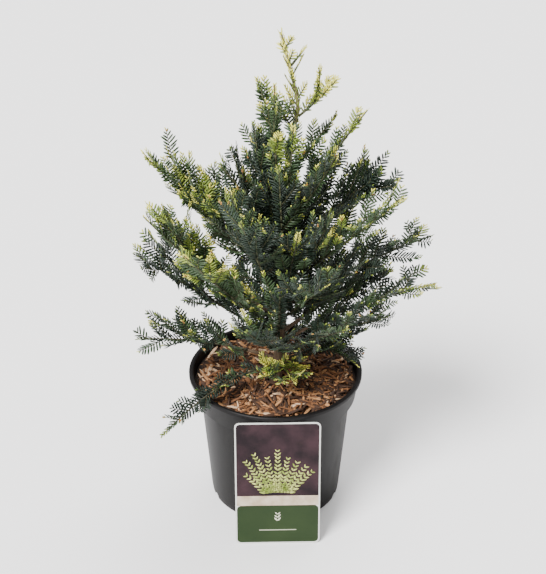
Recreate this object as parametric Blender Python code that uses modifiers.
"""Young coast redwood of a slow, pale-tipped form in its black nursery container.

Metres, +Z up. The origin lies under the middle of the container's flat underside, and the
front of the plant looks along -Y.
"""
import math
import random
from typing import NamedTuple

import bmesh
import bpy
import numpy
from mathutils import Matrix, Vector, noise
from mathutils.bvhtree import BVHTree

OBJECT_NAME = "potted_coast_redwood"
GAP = 0.0003
WELD = 0.00001
UP = Vector((0.0, 0.0, 1.0))

# Container: a three litre nursery pot with a stepped rim band and drain notches
POT_SIDES = 30
POT_HEIGHT = 0.155
POT_BASE_RADIUS = 0.0720
POT_SHOULDER_RADIUS = 0.0825
POT_SHOULDER_HEIGHT = 0.1245
BAND_FOOT_RADIUS = 0.0885
BAND_FOOT_HEIGHT = 0.1270
BAND_TOP_RADIUS = 0.0920
LIP_RADIUS = 0.0950
LIP_DEPTH = 0.0050
POT_WALL = 0.0019
POT_FLOOR = 0.0026
DRAIN_NOTCHES = 8
DRAIN_NOTCH_RADIUS = 0.0052
DRAIN_NOTCH_INNER = 0.0640

# Fill and bark mulch
SOIL_TOP = 0.1330
MULCH_TOP = 0.1440
MULCH_SWELL = 0.0016
MULCH_HOLE = 0.0113
MULCH_RINGS = (0.036, 0.062)
CHIP_COUNT = 12
CHIP_LENGTH = (0.013, 0.026)
CHIP_WIDTH = (0.0035, 0.0065)
CHIP_THICKNESS = 0.0024
CHIP_SEED = 11

# Card that leans on the container's front
CARD_WIDTH = 0.0905
CARD_HEIGHT = 0.1490
CARD_THICKNESS = 0.0008
CARD_CORNER = 0.0050
CARD_FOOT = 0.1085
CARD_TURN = 1.3

# Trunk: plan offset along X at heights above the floor, then its girth
TRUNK_FOOT = SOIL_TOP + GAP
TRUNK_TIP = 0.538
TRUNK_ROUTE = (
    (TRUNK_FOOT, 0.0000),
    (0.190, 0.0045),
    (0.300, 0.0096),
    (0.416, 0.0133),
    (0.460, 0.0215),
    (0.491, 0.0165),
    (TRUNK_TIP, 0.0049),
)
TRUNK_RADIUS = 0.0062
TRUNK_TIP_RADIUS = 0.0009
TRUNK_FLARE = 0.0042
TRUNK_FLARE_HEIGHT = 0.0070
TRUNK_RINGS = 18
CROWN_AXIS_X = 0.008

# Limbs and sprays
BOUGH_RADIUS = 0.0027
STEM_RADIUS = 0.0015
STEM_TIP_RADIUS = 0.0009
TIP_SPRAY_SHARE = 0.60
FEATHER_SHARE = 0.30
FEATHER_TWIG = 0.024
SPRAY_SINK = 0.03
STEM_RINGS = 3
CURVE_SAMPLES = 60
TOOTH_PITCH = 0.0160
TOOTH_REACH = 0.0145
PETIOLE = 0.0065
TOOTH_SWEEP = 0.25
NOTCH_SHARE = 0.55
RIB_WIDTH = 0.0013
RIB_THICKNESS = 0.0013
TWIG_SPACING = 0.0170
TWIG_LAST = 0.85
TWIG_ANGLE = 50.0
TWIG_TRIES = (
    (1.0, 0.0, 0.0),
    (1.0, 30.0, 0.0),
    (1.0, -25.0, -8.0),
    (1.0, 60.0, -12.0),
    (0.8, 10.0, 15.0),
    (0.8, -50.0, 0.0),
    (0.8, 40.0, -18.0),
    (0.6, 0.0, 0.0),
    (0.6, 35.0, 20.0),
    (0.5, -30.0, 0.0),
    (0.5, 70.0, 0.0),
)
TIP_ROLL = 60.0
TIP_TURNS = (0.0, 40.0, -40.0, 90.0)
TWIG_ROLL = 45.0
SPACE_OVERLAP = 0.0120
KEEP_OUT = 0.0013
MULCH_CLEARANCE = 0.1525


class Fork(NamedTuple):
    """A second tip of a mass: where its stem leaves the limb, then its direction and tip."""

    at: float
    azimuth: float
    reach: float
    tip: float


class Limb(NamedTuple):
    """A limb from the trunk to its furthest tip. Degrees and metres.

    azimuth is counted from +X towards +Y, foot and tip are heights, reach is the plan distance
    of the tip from the crown's axis, rise the slope at the trunk, bare the share that is a
    bough, twig the length of the longest side twig.
    """

    name: str
    azimuth: float
    foot: float
    reach: float
    tip: float
    rise: float
    bare: float
    twig: float
    tone: str = "old"
    forks: tuple = ()


LIMBS = (
    Limb("front_low", 281, 0.166, 0.060, 0.175, 14, 0.0, 0.036, "fresh", (Fork(0.25, 246, 0.062, 0.180),)),
    Limb("front_rise_low", 266, 0.174, 0.052, 0.282, 66, 0.0, 0.052),
    Limb("front_low_left", 246, 0.180, 0.092, 0.254, 34, 0.0, 0.062),
    Limb("front_low_right", 310, 0.182, 0.098, 0.250, 34, 0.0, 0.062),
    Limb("front_mid", 297, 0.216, 0.096, 0.308, 46, 0.0, 0.060),
    Limb("front_rise_mid", 288, 0.222, 0.048, 0.345, 70, 0.0, 0.052),
    Limb("inner_front", 262, 0.284, 0.036, 0.410, 72, 0.0, 0.050),
    Limb("front_high", 292, 0.342, 0.024, 0.450, 74, 0.0, 0.042, "fresh"),
    Limb("front_left", 236, 0.232, 0.076, 0.366, 58, 0.0, 0.054, "old", (Fork(0.40, 224, 0.073, 0.394),)),
    Limb("front_right", 318, 0.240, 0.066, 0.366, 58, 0.0, 0.056),
    Limb("lime_patch", 213, 0.202, 0.118, 0.330, 44, 0.0, 0.054, "fresh"),
    Limb("right_low_front", 333, 0.174, 0.123, 0.256, 36, 0.22, 0.056),
    Limb("leader_right", 0, 0.450, 0.051, 0.490, 40, 0.0, 0.024, "pale", (Fork(0.22, 350, 0.034, 0.504),)),
    Limb("leader_tip", 10, 0.503, 0.021, 0.521, 50, 0.0, 0.0, "pale"),
    Limb("upper_right", 0, 0.350, 0.082, 0.458, 52, 0.24, 0.040, "fresh"),
    Limb("upper_right_back", 28, 0.380, 0.060, 0.441, 52, 0.0, 0.038, "fresh"),
    Limb("right_feather", 332, 0.318, 0.060, 0.422, 62, 0.0, 0.050),
    Limb("mid_right_back", 14, 0.300, 0.124, 0.370, 50, 0.22, 0.056, "old", (Fork(0.55, 22, 0.095, 0.388),)),
    Limb("mid_right_front", 347, 0.262, 0.122, 0.376, 38, 0.22, 0.054, "fresh"),
    Limb("right_long", 5, 0.232, 0.157, 0.312, 34, 0.22, 0.046),
    Limb("right_back", 24, 0.200, 0.131, 0.250, 30, 0.22, 0.046, "old", (Fork(0.35, 34, 0.138, 0.284),)),
    Limb("right_low_long", 354, 0.186, 0.159, 0.270, 40, 0.22, 0.050),
    Limb("right_low_back", 16, 0.163, 0.097, 0.190, 16, 0.0, 0.040, "old", (Fork(0.30, 345, 0.083, 0.172),)),
    Limb("top_left", 238, 0.335, 0.017, 0.490, 72, 0.0, 0.038, "fresh", (Fork(0.50, 188, 0.027, 0.493),)),
    Limb("crown_left", 193, 0.322, 0.031, 0.448, 66, 0.0, 0.044),
    Limb("dark_left", 204, 0.286, 0.056, 0.430, 58, 0.22, 0.048, "old", (Fork(0.45, 184, 0.064, 0.402),)),
    Limb("big_left", 170, 0.268, 0.121, 0.408, 30, 0.24, 0.056, "old", (Fork(0.45, 184, 0.138, 0.412), Fork(0.36, 176, 0.108, 0.366))),
    Limb("back_left", 143, 0.248, 0.110, 0.366, 38, 0.22, 0.056),
    Limb("out_left", 189, 0.220, 0.143, 0.352, 34, 0.24, 0.052, "fresh", (Fork(0.42, 201, 0.129, 0.378),)),
    Limb("far_left", 181, 0.190, 0.156, 0.299, 36, 0.24, 0.052, "old", (Fork(0.42, 168, 0.146, 0.308),)),
    Limb("low_left", 192, 0.166, 0.157, 0.213, 30, 0.24, 0.042, "old", (Fork(0.55, 183, 0.137, 0.230),)),
    Limb("over_rim", 220, 0.160, 0.164, 0.141, 17, 0.0, 0.022, "fresh"),
    Limb("inner_back", 88, 0.252, 0.050, 0.372, 62, 0.0, 0.054),
    Limb("back_low_right", 58, 0.172, 0.126, 0.232, 32, 0.0, 0.056),
    Limb("back_low_left", 128, 0.182, 0.130, 0.230, 30, 0.0, 0.056),
    Limb("back_mid_right", 56, 0.234, 0.124, 0.312, 36, 0.22, 0.056),
    Limb("back_mid", 86, 0.208, 0.126, 0.292, 36, 0.0, 0.056),
    Limb("back_mid_left", 124, 0.238, 0.122, 0.326, 38, 0.22, 0.056),
    Limb("back_high_right", 48, 0.292, 0.086, 0.392, 52, 0.0, 0.052),
    Limb("back_high", 118, 0.310, 0.074, 0.404, 54, 0.0, 0.050, "old", (Fork(0.45, 92, 0.040, 0.438),)),
)

COLOURS = {
    "container": ((0.030, 0.027, 0.027), 0.42),
    "fill": ((0.045, 0.030, 0.020), 0.95),
    "mulch": ((0.300, 0.130, 0.060), 0.90),
    "card": ((0.060, 0.075, 0.045), 0.35),
    "bark": ((0.160, 0.105, 0.055), 0.85),
    "old": ((0.028, 0.062, 0.045), 0.55),
    "fresh": ((0.170, 0.240, 0.070), 0.55),
    "pale": ((0.620, 0.620, 0.300), 0.55),
}


def clear_scene():
    """Remove whatever the scene starts with."""
    for item in list(bpy.data.objects):
        bpy.data.objects.remove(item, do_unlink=True)


def make_collection(name):
    """Return a new collection of the scene."""
    made = bpy.data.collections.new(name)
    bpy.context.scene.collection.children.link(made)
    return made


def make_materials():
    """Return one plain Principled material for each named colour."""
    made = {}
    for name, (colour, roughness) in COLOURS.items():
        material = bpy.data.materials.new(name)
        material.use_nodes = True
        shader = material.node_tree.nodes["Principled BSDF"]
        shader.inputs["Base Color"].default_value = (*colour, 1.0)
        shader.inputs["Roughness"].default_value = roughness
        shader.inputs["Metallic"].default_value = 0.0
        made[name] = material
    return made


def add_object(name, data, collection, material=None):
    """Link a new object of this mesh or curve to a collection."""
    made = bpy.data.objects.new(name, data)
    collection.objects.link(made)
    if material:
        data.materials.append(material)
    return made


def evaluated_mesh(item):
    """Return a new mesh of an object with its modifiers applied and its doubles welded."""
    bpy.context.view_layer.update()
    graph = bpy.context.evaluated_depsgraph_get()
    mesh = bpy.data.meshes.new_from_object(item.evaluated_get(graph))
    shape = bmesh.new()
    shape.from_mesh(mesh)
    bmesh.ops.remove_doubles(shape, verts=shape.verts, dist=WELD)
    bmesh.ops.recalc_face_normals(shape, faces=shape.faces)
    shape.to_mesh(mesh)
    shape.free()
    return mesh


def bake(item):
    """Swap an object's modifiers for the mesh that they make."""
    mesh = evaluated_mesh(item)
    item.modifiers.clear()
    item.data = mesh
    return item


def remove_collection(collection):
    """Remove a collection with the objects in it."""
    for item in list(collection.objects):
        bpy.data.objects.remove(item, do_unlink=True)
    bpy.data.collections.remove(collection)


def unite(item, others, solver):
    """Join every object of a collection to this one, then remove the collection."""
    joint = item.modifiers.new("join", "BOOLEAN")
    joint.operation = "UNION"
    joint.operand_type = "COLLECTION"
    joint.collection = others
    joint.solver = solver
    bake(item)
    remove_collection(others)
    return item


def keep_largest(mesh):
    """Drop loose scraps: keep only the piece of a mesh that has the most faces."""
    shape = bmesh.new()
    shape.from_mesh(mesh)
    waiting = set(shape.faces)
    pieces = []
    while waiting:
        piece = {waiting.pop()}
        edge_faces = list(piece)
        while edge_faces:
            face = edge_faces.pop()
            for edge in face.edges:
                for other in edge.link_faces:
                    if other in waiting:
                        waiting.discard(other)
                        piece.add(other)
                        edge_faces.append(other)
        pieces.append(piece)
    pieces.sort(key=len)
    scraps = [face for piece in pieces[:-1] for face in piece]
    bmesh.ops.delete(shape, geom=scraps, context="FACES")
    shape.to_mesh(mesh)
    shape.free()


def turned(name, profile, collection, material, closed=False):
    """Return a solid turned about Z from a profile of radius and height pairs."""
    shape = bmesh.new()
    corners = [shape.verts.new((radius, 0.0, height)) for radius, height in profile]
    for first, second in zip(corners, corners[1:]):
        shape.edges.new((first, second))
    if closed:
        shape.edges.new((corners[-1], corners[0]))
    mesh = bpy.data.meshes.new(name)
    shape.to_mesh(mesh)
    shape.free()
    item = add_object(name, mesh, collection, material)
    screw = item.modifiers.new("turn", "SCREW")
    screw.angle = math.tau
    screw.steps = POT_SIDES
    screw.render_steps = POT_SIDES
    screw.use_merge_vertices = True
    screw.merge_threshold = WELD
    return bake(item)


def tube(name, points, radii, collection, material=None, resolution=0):
    """Return a closed tapering tube of a few sides along these points."""
    curve = bpy.data.curves.new(name, "CURVE")
    curve.dimensions = "3D"
    curve.bevel_depth = 1.0
    curve.bevel_resolution = resolution
    curve.use_fill_caps = True
    spline = curve.splines.new("POLY")
    spline.points.add(len(points) - 1)
    for knot, point, radius in zip(spline.points, points, radii):
        knot.co = (*point, 1.0)
        knot.radius = radius
    drawn = add_object(name + "_curve", curve, collection)
    mesh = evaluated_mesh(drawn)
    mesh.name = name
    item = add_object(name, mesh, collection, material)
    item.matrix_world = drawn.matrix_world
    bpy.data.objects.remove(drawn, do_unlink=True)
    return item


def make_container(collection, cutters, material):
    """The container: floor, tapering wall, stepped band, rolled lip and drain notches."""
    profile = [
        (0.0, POT_FLOOR),
        (POT_BASE_RADIUS - POT_WALL, POT_FLOOR),
        (POT_SHOULDER_RADIUS - POT_WALL, POT_SHOULDER_HEIGHT + 0.6 * POT_WALL),
        (BAND_FOOT_RADIUS - POT_WALL, BAND_FOOT_HEIGHT + POT_WALL),
        (BAND_TOP_RADIUS - POT_WALL, POT_HEIGHT - 0.0012),
        (BAND_TOP_RADIUS - 0.3 * POT_WALL, POT_HEIGHT),
        (LIP_RADIUS - 0.0010, POT_HEIGHT),
        (LIP_RADIUS, POT_HEIGHT - 0.0010),
        (LIP_RADIUS, POT_HEIGHT - LIP_DEPTH + 0.0008),
        (BAND_TOP_RADIUS, POT_HEIGHT - LIP_DEPTH),
        (BAND_FOOT_RADIUS, BAND_FOOT_HEIGHT),
        (POT_SHOULDER_RADIUS, POT_SHOULDER_HEIGHT),
        (POT_BASE_RADIUS + 0.0008, 0.0060),
        (POT_BASE_RADIUS, 0.0),
        (0.0, 0.0),
    ]
    pot = turned("container", profile, collection, material)
    for index in range(DRAIN_NOTCHES):
        angle = math.tau * (index + 0.5) / DRAIN_NOTCHES
        shape = bmesh.new()
        bmesh.ops.create_cone(
            shape,
            cap_ends=True,
            segments=8,
            radius1=DRAIN_NOTCH_RADIUS,
            radius2=DRAIN_NOTCH_RADIUS,
            depth=0.030,
            matrix=Matrix.Rotation(math.radians(90.0), 4, "Y"),
        )
        mesh = bpy.data.meshes.new("notch")
        shape.to_mesh(mesh)
        shape.free()
        cutter = add_object(f"notch_{index}", mesh, cutters)
        cutter.rotation_euler = (0.0, 0.0, angle)
        middle = DRAIN_NOTCH_INNER + 0.015
        cutter.location = (middle * math.cos(angle), middle * math.sin(angle), 0.0)
        cutter.hide_render = True
        cutter.display_type = "WIRE"
    cut = pot.modifiers.new("drain", "BOOLEAN")
    cut.operation = "DIFFERENCE"
    cut.operand_type = "COLLECTION"
    cut.collection = cutters
    cut.solver = "EXACT"
    bake(pot)
    return pot


def inner_radius(height):
    """Radius of the container's inner wall at a height in its band."""
    share = (height - BAND_FOOT_HEIGHT) / (POT_HEIGHT - BAND_FOOT_HEIGHT)
    return BAND_FOOT_RADIUS + (BAND_TOP_RADIUS - BAND_FOOT_RADIUS) * share - POT_WALL - 0.0002


def make_fill(collection, material):
    """The potting mix that fills the container up to the mulch."""
    profile = [
        (0.0, SOIL_TOP),
        (inner_radius(SOIL_TOP) - GAP, SOIL_TOP),
        (inner_radius(BAND_FOOT_HEIGHT) - GAP, BAND_FOOT_HEIGHT + POT_WALL + 0.0010),
        (POT_SHOULDER_RADIUS - POT_WALL - 2.0 * GAP, POT_SHOULDER_HEIGHT + 0.0012),
        (POT_BASE_RADIUS - POT_WALL - GAP, POT_FLOOR + GAP),
        (0.0, POT_FLOOR + GAP),
    ]
    return turned("potting_mix", profile, collection, material)


def make_mulch(collection, material):
    """A ring of bark mulch with an uneven top and loose chips fused on it."""
    floor = SOIL_TOP + GAP
    profile = [(MULCH_HOLE, MULCH_TOP)]
    profile += [(radius, MULCH_TOP) for radius in MULCH_RINGS]
    profile += [
        (inner_radius(MULCH_TOP) - 2.0 * GAP, MULCH_TOP - 0.0010),
        (inner_radius(floor) - 2.0 * GAP, floor),
        (MULCH_HOLE, floor),
    ]
    mulch = turned("bark_mulch", profile, collection, material, closed=True)
    for vertex in mulch.data.vertices:
        if vertex.co.z > MULCH_TOP - 0.002:
            vertex.co.z += MULCH_SWELL * noise.noise(vertex.co * 70.0)
    chips = make_collection("chips")
    draw = random.Random(CHIP_SEED)
    for index in range(CHIP_COUNT):
        length = draw.uniform(*CHIP_LENGTH)
        width = draw.uniform(*CHIP_WIDTH)
        span = inner_radius(MULCH_TOP) - 0.002 - 0.5 * length
        radius = math.sqrt(draw.uniform(0.09, 1.0)) * span
        angle = index * 2.39996 + draw.uniform(-0.3, 0.3)
        shape = bmesh.new()
        bmesh.ops.create_cube(shape, size=1.0)
        bmesh.ops.scale(shape, vec=(length, width, CHIP_THICKNESS), verts=shape.verts)
        mesh = bpy.data.meshes.new("chip")
        shape.to_mesh(mesh)
        shape.free()
        chip = add_object(f"chip_{index}", mesh, chips)
        chip.location = (radius * math.cos(angle), radius * math.sin(angle), MULCH_TOP + 0.0008)
        chip.rotation_euler = (
            math.radians(draw.uniform(-14.0, 14.0)),
            math.radians(draw.uniform(-7.0, 7.0)),
            draw.uniform(0.0, math.pi),
        )
    unite(mulch, chips, "EXACT")
    keep_largest(mulch.data)
    return mulch


def make_card(collection, material):
    """The thin card with round corners that stands on the floor and leans on the band."""
    curve = bpy.data.curves.new("plant_label", "CURVE")
    curve.dimensions = "2D"
    curve.fill_mode = "BOTH"
    curve.extrude = 0.5 * CARD_THICKNESS
    spline = curve.splines.new("POLY")
    outline = []
    for corner in range(4):
        sign_x = 1.0 if corner in (0, 3) else -1.0
        sign_y = 1.0 if corner in (0, 1) else -1.0
        for step in range(4):
            angle = math.radians(90.0 * corner + 30.0 * step)
            x = sign_x * (0.5 * CARD_WIDTH - CARD_CORNER) + CARD_CORNER * math.cos(angle)
            y = sign_y * (0.5 * CARD_HEIGHT - CARD_CORNER) + CARD_CORNER * math.sin(angle)
            outline.append((x, y + 0.5 * CARD_HEIGHT))
    spline.points.add(len(outline) - 1)
    for knot, (x, y) in zip(spline.points, outline):
        knot.co = (x, y, 0.0, 1.0)
    spline.use_cyclic_u = True
    drawn = add_object("card_outline", curve, collection)
    mesh = evaluated_mesh(drawn)
    bpy.data.objects.remove(drawn, do_unlink=True)
    card = add_object("plant_label", mesh, collection, material)
    card_lean = math.asin((CARD_FOOT - BAND_TOP_RADIUS - GAP) / CARD_HEIGHT)
    stand = Matrix.Rotation(math.radians(90.0) - card_lean, 4, "X")
    back = 0.5 * CARD_THICKNESS
    place = Matrix.Translation((0.0, -CARD_FOOT - back * math.cos(card_lean), back * math.sin(card_lean)))
    turn = Matrix.Rotation(math.radians(CARD_TURN), 4, "Z")
    card.matrix_world = turn @ place @ stand
    return card


def trunk_point(height):
    """Centre of the trunk at a height, on a smooth line through its route."""
    heights = [row[0] for row in TRUNK_ROUTE]
    height = min(max(height, heights[0]), heights[-1])
    index = max(i for i in range(len(heights) - 1) if heights[i] <= height)
    (z0, x0), (z1, x1) = TRUNK_ROUTE[index], TRUNK_ROUTE[index + 1]
    before = TRUNK_ROUTE[max(index - 1, 0)]
    after = TRUNK_ROUTE[min(index + 2, len(TRUNK_ROUTE) - 1)]
    slope0 = (x1 - before[1]) / (z1 - before[0])
    slope1 = (after[1] - x0) / (after[0] - z0)
    span = z1 - z0
    t = (height - z0) / span
    x = (
        (2 * t**3 - 3 * t**2 + 1) * x0
        + (t**3 - 2 * t**2 + t) * span * slope0
        + (3 * t**2 - 2 * t**3) * x1
        + (t**3 - t**2) * span * slope1
    )
    return Vector((x, 0.0, height))


def trunk_radius(height):
    """Radius of the trunk at a height: an even taper, and the root flare at its foot."""
    share = (height - TRUNK_FOOT) / (TRUNK_TIP - TRUNK_FOOT)
    taper = TRUNK_RADIUS + (TRUNK_TIP_RADIUS - TRUNK_RADIUS) * share**0.85
    return taper + TRUNK_FLARE * math.exp(-(height - TRUNK_FOOT) / TRUNK_FLARE_HEIGHT)


def make_trunk(collection, material):
    """The trunk from its flat cut to the tip of the leader."""
    points = []
    radii = []
    for index in range(TRUNK_RINGS + 1):
        height = TRUNK_FOOT + (TRUNK_TIP - TRUNK_FOOT) * (index / TRUNK_RINGS) ** 1.3
        points.append(trunk_point(height))
        radii.append(trunk_radius(height))
    points[0].x = points[1].x
    return tube("trunk", points, radii, collection, material, resolution=2)


def heading(azimuth):
    """Level unit vector that points along an azimuth in degrees."""
    angle = math.radians(azimuth)
    return Vector((math.cos(angle), math.sin(angle), 0.0))


def arc(start, control, end):
    """Return a function that runs along a quadratic curve from 0 to 1."""

    def point(t):
        return (1 - t) ** 2 * start + 2 * t * (1 - t) * control + t**2 * end

    return point


def limb_path(limb):
    """Return a limb's curve, from the trunk's centre to its tip."""
    start = trunk_point(limb.foot)
    end = Vector((CROWN_AXIS_X, 0.0, limb.tip)) + heading(limb.azimuth) * limb.reach
    level = Vector((end.x - start.x, end.y - start.y, 0.0))
    half = 0.5 * (end - start).length
    rise = math.radians(limb.rise)
    control = start + level.normalized() * half * math.cos(rise) + UP * half * math.sin(rise)
    return arc(start, control, end)


def fork_path(limb, fork):
    """Return the curve of a fork, which leaves its limb along the limb's own direction."""
    path = limb_path(limb)
    start = path(fork.at)
    along = (path(fork.at + 0.02) - start).normalized()
    end = Vector((CROWN_AXIS_X, 0.0, fork.tip)) + heading(fork.azimuth) * fork.reach
    return arc(start, start + along * 0.45 * (end - start).length, end)


def samples(path, first=0.0, last=1.0, count=CURVE_SAMPLES):
    """Return points of a curve as an array, one row for each."""
    return numpy.array([path(first + (last - first) * i / (count - 1)) for i in range(count)])


def distance(point, cloud):
    """Return the least distance from a point to the rows of an array."""
    return float(numpy.sqrt(((cloud - numpy.array(point)) ** 2).sum(axis=1)).min())


def leave_trunk(path, radius):
    """Return where on a curve a limb of this radius starts, a gap clear of the trunk."""
    t = 0.0
    while t < 0.9:
        here = path(t)
        centre = trunk_point(here.z)
        along = (path(t + 0.01) - here).normalized()
        clear = math.hypot(here.x - centre.x, here.y - centre.y)
        if clear - radius * abs(along.z) >= trunk_radius(here.z) + GAP:
            return t
        t += 0.002
    raise ValueError("a limb never leaves the trunk")


def along_curve(path, start, length):
    """Return the parameter that lies this far along a curve from a start."""
    t = start
    here = path(t)
    walked = 0.0
    while walked < length and t < 1.0:
        t += 0.0005
        there = path(t)
        walked += (there - here).length
        here = there
    return t


class Growth:
    """The limbs' curves, the space of each mass and the room that is already taken."""

    def __init__(self):
        """Work out where every limb starts and where its stem of foliage starts."""
        self.start = {}
        self.stem = {}
        self.axes = {}
        self.taken = []
        for limb in LIMBS:
            path = limb_path(limb)
            radius = BOUGH_RADIUS if limb.bare else STEM_RADIUS
            start = leave_trunk(path, radius)
            self.start[limb.name] = start
            self.stem[limb.name] = along_curve(path, limb.bare, GAP) if limb.bare else start
            clouds = [samples(path)]
            clouds += [samples(fork_path(limb, fork)) for fork in limb.forks]
            self.axes[limb.name] = numpy.concatenate(clouds)

    def take(self, owner, mesh, matrix=None):
        """Note the room that a mesh fills."""
        matrix = matrix or Matrix()
        points = [matrix @ vertex.co for vertex in mesh.vertices]
        tree = BVHTree.FromPolygons(points, [tuple(face.vertices) for face in mesh.polygons])
        self.taken.append((owner, numpy.min(points, axis=0), numpy.max(points, axis=0), tree))

    def in_space(self, name, point):
        """Say whether a point lies in a mass's own space, above the mulch."""
        if point.z < MULCH_CLEARANCE and math.hypot(point.x, point.y) < LIP_RADIUS:
            return False
        own = distance(point, self.axes[name]) - SPACE_OVERLAP
        return all(distance(point, cloud) > own for other, cloud in self.axes.items() if other != name)

    def is_free(self, stem, path, normal, length, width):
        """Say whether a spray and a little room round it touch nothing but their own stem."""
        points = []
        faces = []
        for centre, side, upright, share, reach in spray_stations(path, normal, length, width)[1:]:
            spread = side * (reach + KEEP_OUT)
            rise = upright * KEEP_OUT
            forward = centre + (path(1.0) - path(0.9)).normalized() * (KEEP_OUT if share == 1.0 else 0.0)
            first = len(points)
            points += [forward + spread + rise, forward - spread + rise]
            points += [forward - spread - rise, forward + spread - rise]
            if first:
                for corner in range(4):
                    beside = (corner + 1) % 4
                    faces.append((first - 4 + corner, first - 4 + beside, first + beside, first + corner))
        faces += [(0, 1, 2, 3), tuple(range(len(points) - 4, len(points)))]
        tree = BVHTree.FromPolygons(points, faces)
        low = numpy.min(points, axis=0)
        high = numpy.max(points, axis=0)
        for owner, other_low, other_high, other in self.taken:
            if owner == stem or (low > other_high).any() or (high < other_low).any():
                continue
            if tree.overlap(other):
                return False
        return True


def spray_stations(path, normal, length, width):
    """Return each station's centre, side and upright vectors, share and tooth width.

    The first station is the root, the second the end of the bare stalk, the last the tip.
    """
    stalk = min(0.3, PETIOLE / length)
    teeth = max(3, round((1.0 - stalk) * length / TOOTH_PITCH))
    shares = [0.0] + [stalk + (1.0 - stalk) * index / teeth for index in range(teeth + 1)]
    stations = []
    for share in shares:
        along = (path(min(share + 0.02, 1.0)) - path(max(share - 0.02, 0.0))).normalized()
        side = along.cross(normal).normalized()
        swell = 0.72 + 0.28 * math.sin(math.pi * share)
        stations.append((path(share), side, side.cross(along), share, width * swell))
    return stations


def spray_mesh(name, path, normal, length, width):
    """A spray of needles: a keeled twig, flat below, with a sharp tooth for each few needles."""
    shape = bmesh.new()
    rows = []
    stations = spray_stations(path, normal, length, width)
    for index, (centre, side, upright, share, reach) in enumerate(stations[:-1]):
        rib = 1.0 - 0.5 * share
        keel = centre - upright * 0.4 * RIB_THICKNESS * rib
        half = RIB_WIDTH if index < 2 else NOTCH_SHARE * reach
        row = [
            shape.verts.new(centre + upright * 0.6 * RIB_THICKNESS * rib),
            shape.verts.new(keel + side * half),
            shape.verts.new(keel - side * half),
        ]
        rows.append(row)
    end = shape.verts.new(stations[-1][0])
    shape.faces.new(rows[0])
    for index, (before, after) in enumerate(zip(rows, rows[1:])):
        ridge, right, left = before
        ridge_after, right_after, left_after = after
        shape.faces.new((left, right, right_after, left_after))
        if index == 0:
            shape.faces.new((ridge, right, right_after, ridge_after))
            shape.faces.new((ridge, ridge_after, left_after, left))
            continue
        centre, side, _, _, reach = stations[index]
        step = stations[index + 1][0] - centre
        for near, far, sign in ((right, right_after, 1.0), (left, left_after, -1.0)):
            point = shape.verts.new(centre + step * (1.0 + TOOTH_SWEEP) + side * sign * reach)
            shape.faces.new((ridge, near, point))
            shape.faces.new((ridge, point, ridge_after))
            shape.faces.new((ridge_after, point, far))
            shape.faces.new((near, point, far))
    ridge, right, left = rows[-1]
    shape.faces.new((ridge, right, end))
    shape.faces.new((ridge, end, left))
    shape.faces.new((left, end, right))
    bmesh.ops.recalc_face_normals(shape, faces=shape.faces)
    mesh = bpy.data.meshes.new(name)
    shape.to_mesh(mesh)
    shape.free()
    return mesh


def grow_twigs(growth, limb, stem, path, first, draw):
    """Yield the curve, normal, length and width of each side twig of a stem, by a seeded rule."""
    line = samples(path, first, 1.0, 21)
    stem_length = numpy.linalg.norm(line[1:] - line[:-1], axis=1).sum()
    count = max(2, round(TWIG_LAST * stem_length / TWIG_SPACING))
    hand = 1.0
    for index in range(count):
        share = TWIG_LAST * (index + 0.3) / count
        t = first + (1 - first) * share
        start = path(t)
        along = (path(t + 0.02) - start).normalized()
        level = along.cross(UP).normalized()
        upright = level.cross(along)
        lean = draw.uniform(-12.0, 42.0)
        open_angle = TWIG_ANGLE + draw.uniform(-8.0, 8.0)
        lift = draw.uniform(0.10, 0.28)
        size = limb.twig * (1.0 - 0.35 * share) * draw.uniform(0.85, 1.1)
        roll = math.radians(draw.uniform(-TWIG_ROLL, TWIG_ROLL))
        hand = -hand
        for trial, turn, opening in TWIG_TRIES:
            length = size * trial
            if length < 1.5 * TOOTH_PITCH:
                break
            tilt = math.radians(lean + turn)
            angle = math.radians(open_angle + opening)
            outward = level * hand * math.cos(tilt) + upright * math.sin(tilt)
            direction = along * math.cos(angle) + outward * math.sin(angle)
            flat = direction.cross(outward.cross(along)).cross(direction).normalized()
            normal = Matrix.Rotation(roll, 3, direction) @ flat
            curve = arc(start, start + direction * 0.5 * length, start + (direction + UP * lift) * length)
            width = TOOTH_REACH * min(1.0, 0.35 + length / 0.07)
            if not all(growth.in_space(limb.name, curve(share)) for share in (0.6, 1.0)):
                continue
            if growth.is_free(stem, curve, normal, length, width):
                yield curve, normal, length, width
                break


def tip_curve(path, first):
    """Return the last stretch of a curve, from this parameter to its end, as a curve of its own."""

    def point(t):
        return path(first + (1.0 - first) * t)

    return point


def tip_share(limb):
    """Return the share of a stem at which the spray at its tip starts."""
    return TIP_SPRAY_SHARE if limb.twig > FEATHER_TWIG else FEATHER_SHARE


def stems_of(growth, limb):
    """Return the name, curve and first parameter of a mass's stem and of its forks."""
    stems = [(limb.name + "_stem", limb_path(limb), growth.stem[limb.name])]
    for index, fork in enumerate(limb.forks):
        stems.append((f"{limb.name}_fork_{index}", fork_path(limb, fork), 0.0))
    return stems


def grow_stems(growth, limb, parts):
    """Make the stems of a mass."""
    for number, (name, curve, first) in enumerate(stems_of(growth, limb)):
        last = first + (1.0 - first) * (tip_share(limb) + SPRAY_SINK)
        steps = [i / STEM_RINGS for i in range(STEM_RINGS + 1)]
        points = [curve(first + (last - first) * step) for step in steps]
        scale = 0.8 if number else 1.0
        radii = [scale * (STEM_RADIUS + (STEM_TIP_RADIUS - STEM_RADIUS) * step) for step in steps]
        stem = tube(name, points, radii, parts)
        growth.take(name, stem.data)


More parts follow.
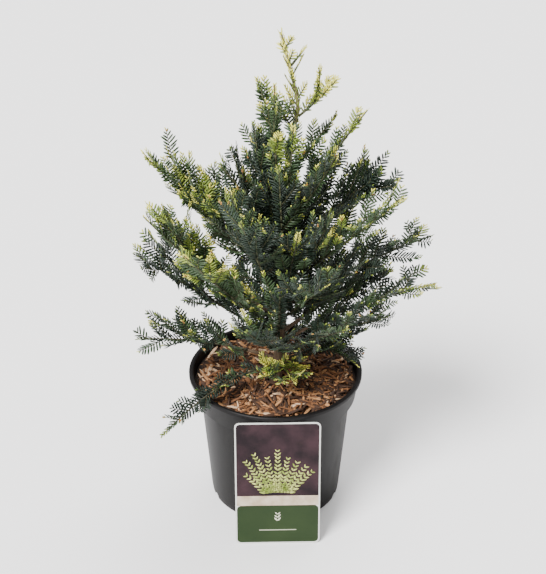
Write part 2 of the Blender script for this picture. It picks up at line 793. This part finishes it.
def grow_tips(growth, limb, parts):
    """Add the spray at the tip of each stem of a mass, turned until it is clear of the rest."""
    draw = random.Random(limb.name + " tips")
    for name, curve, first in stems_of(growth, limb):
        tip = tip_curve(curve, first + (1.0 - first) * tip_share(limb))
        along = (tip(1.0) - tip(0.0)).normalized()
        upright = along.cross(UP).normalized().cross(along)
        length = (tip(1.0) - tip(0.0)).length
        width = TOOTH_REACH * min(1.0, length / 0.035, 0.55 + limb.twig / 0.11)
        roll = draw.uniform(-TIP_ROLL, TIP_ROLL)
        for turn in TIP_TURNS:
            normal = Matrix.Rotation(math.radians(roll + turn), 3, along) @ upright
            if growth.is_free(name, tip, normal, length, width):
                mesh = spray_mesh("spray", tip, normal, length, width)
                add_object(name + "_tip", mesh, parts)
                growth.take(name + "_tip", mesh)
                break


def grow_sides(growth, limb, parts):
    """Add the side twigs of a mass."""
    draw = random.Random(limb.name)
    if not limb.twig:
        return
    for name, curve, first in stems_of(growth, limb):
        twigs = grow_twigs(growth, limb, name, curve, first, draw)
        for index, (twig, normal, length, width) in enumerate(twigs):
            mesh = spray_mesh("spray", twig, normal, length, width)
            add_object(f"{name}_twig_{index}", mesh, parts)
            growth.take(name + "_twig", mesh)


def join_mass(limb, parts, collection, material):
    """Join a mass's stems and sprays to one solid."""
    body = parts.objects[limb.name + "_stem"]
    parts.objects.unlink(body)
    collection.objects.link(body)
    body.name = "foliage_" + limb.name
    body.data.name = body.name
    unite(body, parts, "MANIFOLD")
    keep_largest(body.data)
    body.data.materials.clear()
    body.data.materials.append(material)
    return body


def make_bough(growth, limb, collection, material):
    """The bare, tapering part of a limb, from the trunk to where the foliage starts."""
    path = limb_path(limb)
    start = growth.start[limb.name]
    points = [path(start + (limb.bare - start) * i / 3) for i in range(4)]
    radii = [BOUGH_RADIUS + (STEM_RADIUS - BOUGH_RADIUS) * i / 3 for i in range(4)]
    return tube("bough_" + limb.name, points, radii, collection, material, resolution=1)


def main():
    """Build the container, what fills it, the card, the trunk and the crown."""
    clear_scene()
    materials = make_materials()
    parts = make_collection(OBJECT_NAME)
    cutters = make_collection("cutters")
    make_container(parts, cutters, materials["container"])
    make_fill(parts, materials["fill"])
    make_mulch(parts, materials["mulch"])
    make_card(parts, materials["card"])
    make_trunk(parts, materials["bark"])
    growth = Growth()
    for limb in LIMBS:
        if limb.bare:
            make_bough(growth, limb, parts, materials["bark"])
    for item in parts.objects:
        growth.take(item.name, item.data, item.matrix_world)
    masses = {limb.name: make_collection(limb.name) for limb in LIMBS}
    for limb in LIMBS:
        grow_stems(growth, limb, masses[limb.name])
    for limb in LIMBS:
        grow_tips(growth, limb, masses[limb.name])
    for limb in LIMBS:
        grow_sides(growth, limb, masses[limb.name])
    for limb in LIMBS:
        join_mass(limb, masses[limb.name], parts, materials[limb.tone])
    for item in parts.objects:
        item.data.shade_smooth()
        item.data.set_sharp_from_angle(angle=math.radians(35.0))


main()
